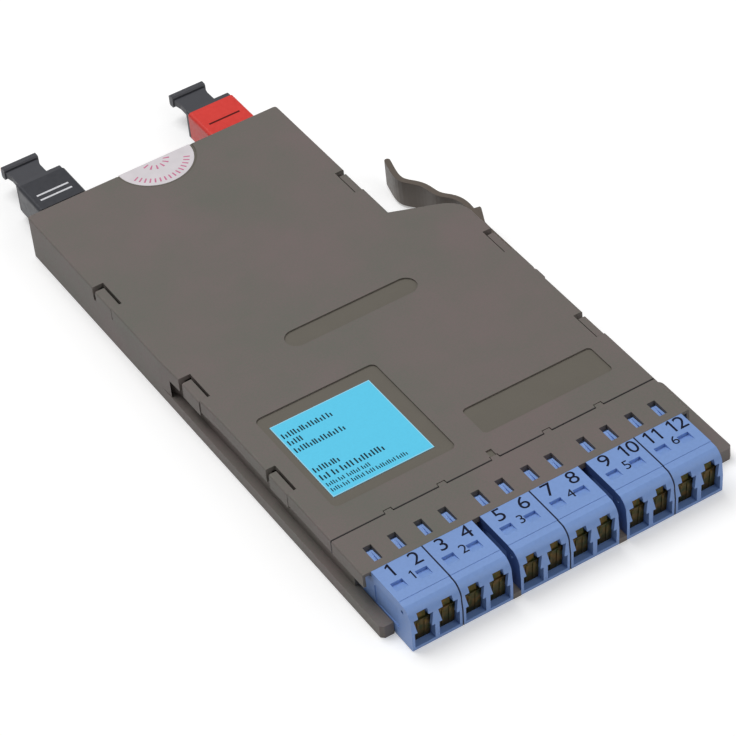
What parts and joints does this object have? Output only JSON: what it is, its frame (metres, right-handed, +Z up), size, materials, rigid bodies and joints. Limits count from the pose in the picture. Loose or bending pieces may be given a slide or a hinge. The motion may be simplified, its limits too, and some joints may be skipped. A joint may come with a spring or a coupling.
{
  "type": "fibre cassette",
  "caption": "Flat snap-closed fibre tap cassette with shuttered duplex ports in front, capped multi-fibre adapters behind and a sprung latch lever.",
  "frame": {"origin": "middle of the housing underside: half way between the outermost duplex adapters in x and between the front deck edge and the rear wall in y", "axes": "+X from the first port towards the last, +Y from the ports towards the rear adapters, +Z up through the cover"},
  "size_m": [0.093, 0.1952, 0.0121],
  "materials": {
    "housing": "moulded, fine texture, warm grey-brown",
    "lever": "moulded, smooth, dark grey-brown",
    "label": "plain satin label stock, light blue",
    "seal": "plain silver-white sticker",
    "blue": "moulded, satin, blue",
    "leaf": "dark bronze spring metal",
    "sleeve": "white ceramic",
    "plug": "moulded, dark grey",
    "tray": "moulded, black",
    "splitter": "satin metal packages",
    "fibre_a": "buffered fibre, aqua",
    "fibre_b": "ribbon fibre, yellow",
    "dark": "moulded, charcoal",
    "clip_dark": "smooth, charcoal",
    "clip_red": "smooth, red"
  },
  "bodies": {
    "housing": {"base_housing": "housing", "cover": "housing", "label": "label", "seal_sticker": "seal", "duplex_adapter_1": "blue", "alignment_sleeves_1": "sleeve", "inner_plugs_1": "plug", "duplex_adapter_2": "blue", "alignment_sleeves_2": "sleeve", "inner_plugs_2": "plug", "duplex_adapter_3": "blue", "alignment_sleeves_3": "sleeve", "inner_plugs_3": "plug", "duplex_adapter_4": "blue", "alignment_sleeves_4": "sleeve", "inner_plugs_4": "plug", "duplex_adapter_5": "blue", "alignment_sleeves_5": "sleeve", "inner_plugs_5": "plug", "duplex_adapter_6": "blue", "alignment_sleeves_6": "sleeve", "inner_plugs_6": "plug", "splitter_tray": "tray", "splitters": "splitter", "front_fibres": "fibre_a", "rear_fibres_left": "fibre_b", "rear_plug_left": "plug", "rear_adapter_left": "dark", "marker_clip_left": "clip_dark", "rear_fibres_right": "fibre_b", "rear_plug_right": "plug", "rear_adapter_right": "dark", "marker_clip_right": "clip_red"},
    "leaf_01": {"shutter_01": "leaf"},
    "leaf_02": {"shutter_02": "leaf"},
    "leaf_03": {"shutter_03": "leaf"},
    "leaf_04": {"shutter_04": "leaf"},
    "leaf_05": {"shutter_05": "leaf"},
    "leaf_06": {"shutter_06": "leaf"},
    "leaf_07": {"shutter_07": "leaf"},
    "leaf_08": {"shutter_08": "leaf"},
    "leaf_09": {"shutter_09": "leaf"},
    "leaf_10": {"shutter_10": "leaf"},
    "leaf_11": {"shutter_11": "leaf"},
    "leaf_12": {"shutter_12": "leaf"},
    "cap_left": {"pull_cap_left": "dark"},
    "cap_right": {"pull_cap_right": "dark"},
    "lever": {"latch_lever": "lever"}
  },
  "joints": [
    {"name": "leaf_01_hinge", "type": "hinge", "parent": "housing", "child": "leaf_01", "pos_m": [-0.03753, -0.0887, 0.00975], "axis": [1, 0, 0], "range_deg": [0, 75], "stiffness_Nm_per_rad": 0.0001, "springref_deg": -22.92},
    {"name": "leaf_02_hinge", "type": "hinge", "parent": "housing", "child": "leaf_02", "pos_m": [-0.03127, -0.0887, 0.00975], "axis": [1, 0, 0], "range_deg": [0, 75], "stiffness_Nm_per_rad": 0.0001, "springref_deg": -22.92},
    {"name": "leaf_03_hinge", "type": "hinge", "parent": "housing", "child": "leaf_03", "pos_m": [-0.02453, -0.0887, 0.00975], "axis": [1, 0, 0], "range_deg": [0, 75], "stiffness_Nm_per_rad": 0.0001, "springref_deg": -22.92},
    {"name": "leaf_04_hinge", "type": "hinge", "parent": "housing", "child": "leaf_04", "pos_m": [-0.01827, -0.0887, 0.00975], "axis": [1, 0, 0], "range_deg": [0, 75], "stiffness_Nm_per_rad": 0.0001, "springref_deg": -22.92},
    {"name": "leaf_05_hinge", "type": "hinge", "parent": "housing", "child": "leaf_05", "pos_m": [-0.00962, -0.0887, 0.00975], "axis": [1, 0, 0], "range_deg": [0, 75], "stiffness_Nm_per_rad": 0.0001, "springref_deg": -22.92},
    {"name": "leaf_06_hinge", "type": "hinge", "parent": "housing", "child": "leaf_06", "pos_m": [-0.00337, -0.0887, 0.00975], "axis": [1, 0, 0], "range_deg": [0, 75], "stiffness_Nm_per_rad": 0.0001, "springref_deg": -22.92},
    {"name": "leaf_07_hinge", "type": "hinge", "parent": "housing", "child": "leaf_07", "pos_m": [0.00337, -0.0887, 0.00975], "axis": [1, 0, 0], "range_deg": [0, 75], "stiffness_Nm_per_rad": 0.0001, "springref_deg": -22.92},
    {"name": "leaf_08_hinge", "type": "hinge", "parent": "housing", "child": "leaf_08", "pos_m": [0.00962, -0.0887, 0.00975], "axis": [1, 0, 0], "range_deg": [0, 75], "stiffness_Nm_per_rad": 0.0001, "springref_deg": -22.92},
    {"name": "leaf_09_hinge", "type": "hinge", "parent": "housing", "child": "leaf_09", "pos_m": [0.01827, -0.0887, 0.00975], "axis": [1, 0, 0], "range_deg": [0, 75], "stiffness_Nm_per_rad": 0.0001, "springref_deg": -22.92},
    {"name": "leaf_10_hinge", "type": "hinge", "parent": "housing", "child": "leaf_10", "pos_m": [0.02453, -0.0887, 0.00975], "axis": [1, 0, 0], "range_deg": [0, 75], "stiffness_Nm_per_rad": 0.0001, "springref_deg": -22.92},
    {"name": "leaf_11_hinge", "type": "hinge", "parent": "housing", "child": "leaf_11", "pos_m": [0.03127, -0.0887, 0.00975], "axis": [1, 0, 0], "range_deg": [0, 75], "stiffness_Nm_per_rad": 0.0001, "springref_deg": -22.92},
    {"name": "leaf_12_hinge", "type": "hinge", "parent": "housing", "child": "leaf_12", "pos_m": [0.03753, -0.0887, 0.00975], "axis": [1, 0, 0], "range_deg": [0, 75], "stiffness_Nm_per_rad": 0.0001, "springref_deg": -22.92},
    {"name": "cap_left_pull", "type": "slide", "parent": "housing", "child": "cap_left", "axis": [0, 1, 0], "range_m": [0, 0.022]},
    {"name": "cap_right_pull", "type": "slide", "parent": "housing", "child": "cap_right", "axis": [0, 1, 0], "range_m": [0, 0.022]},
    {"name": "lever_swing", "type": "hinge", "parent": "housing", "child": "lever", "pos_m": [0.04415, -0.014, 0.0043], "axis": [0, 0, 1], "range_deg": [0, 3], "stiffness_Nm_per_rad": 0.02}
  ]
}
